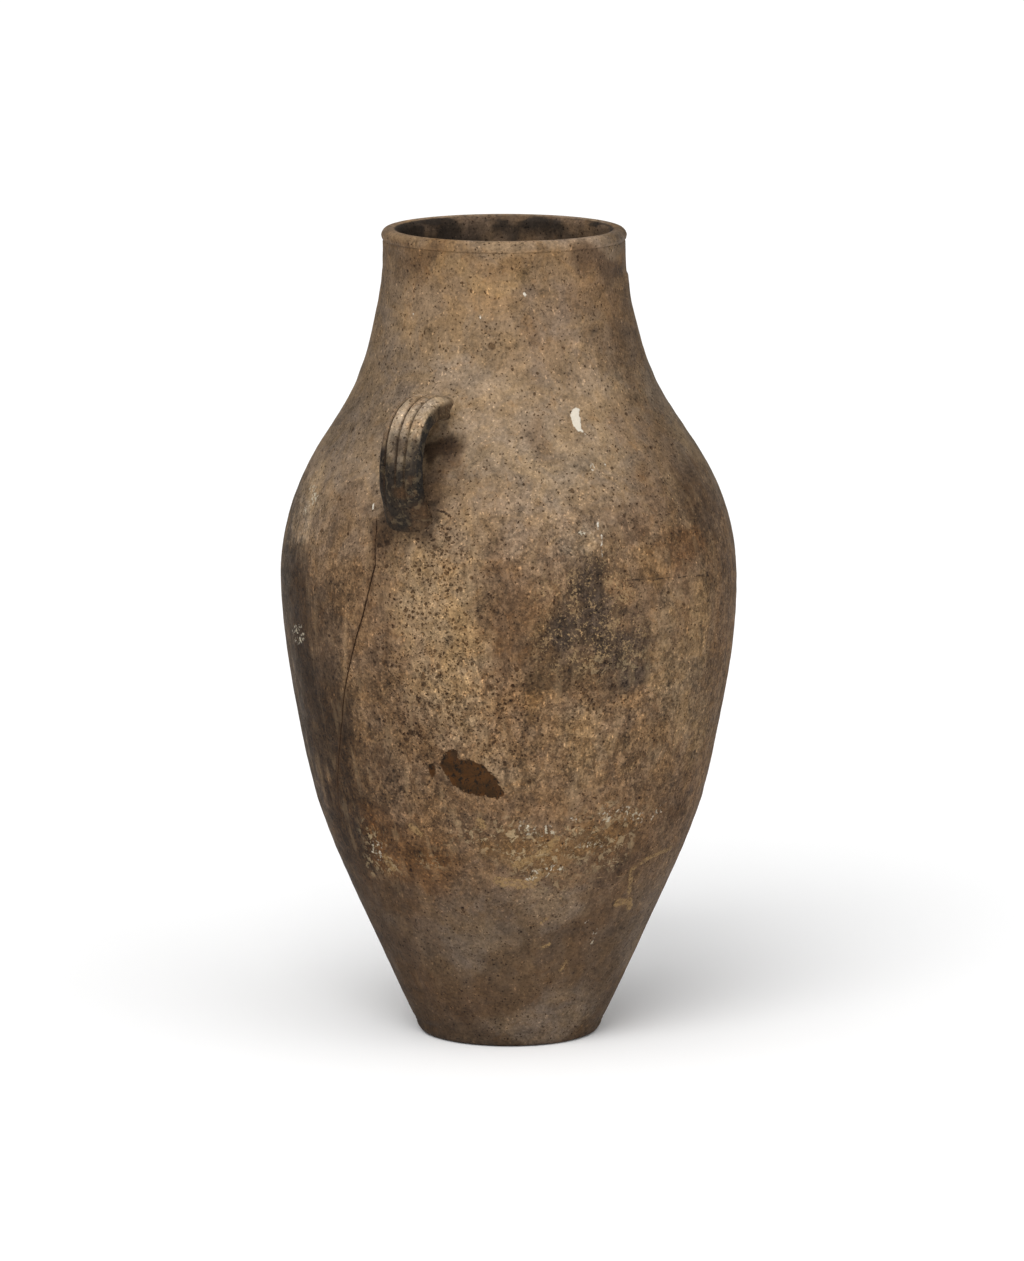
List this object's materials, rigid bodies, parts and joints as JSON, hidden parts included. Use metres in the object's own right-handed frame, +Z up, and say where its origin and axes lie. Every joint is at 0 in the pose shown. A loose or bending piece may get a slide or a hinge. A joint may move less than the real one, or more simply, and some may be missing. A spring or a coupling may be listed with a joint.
{
  "type": "two-handled storage amphora",
  "caption": "Tall fired-clay storage jar with a flat foot, wide belly, steep shoulder, short wide neck, rolled rim and a grooved strap handle on each side.",
  "frame": {"origin": "centre of the underside of the foot, where the jar meets the ground", "axes": "+Z up along the jar's axis; one handle stands out along +X and one along -X"},
  "size_m": [0.4656, 0.448, 0.8],
  "materials": {
    "foot_clay": "unglazed, dark brown, worn",
    "body_clay": "unglazed, dusty brown, matt",
    "neck_clay": "unglazed, tan brown, matt",
    "rim_clay": "unglazed, grey brown, rubbed smooth",
    "handle_clay": "unglazed, tan with soot",
    "luting_clay": "unglazed, wiped smooth",
    "inner_clay": "unglazed, dark, rough"
  },
  "bodies": {
    "root": {"base_disc": "foot_clay", "base_corner_coil": "inner_clay", "lower_wall": "body_clay", "knee_lute_band": "inner_clay", "middle_wall": "body_clay", "belly_lute_band": "inner_clay", "shoulder_wall": "body_clay", "neck_lute_band": "inner_clay", "neck": "neck_clay", "rim": "rim_clay", "left_handle": "handle_clay", "left_upper_root_pad": "luting_clay", "left_lower_root_pad": "luting_clay", "right_handle": "handle_clay", "right_upper_root_pad": "luting_clay", "right_lower_root_pad": "luting_clay"}
  },
  "joints": []
}
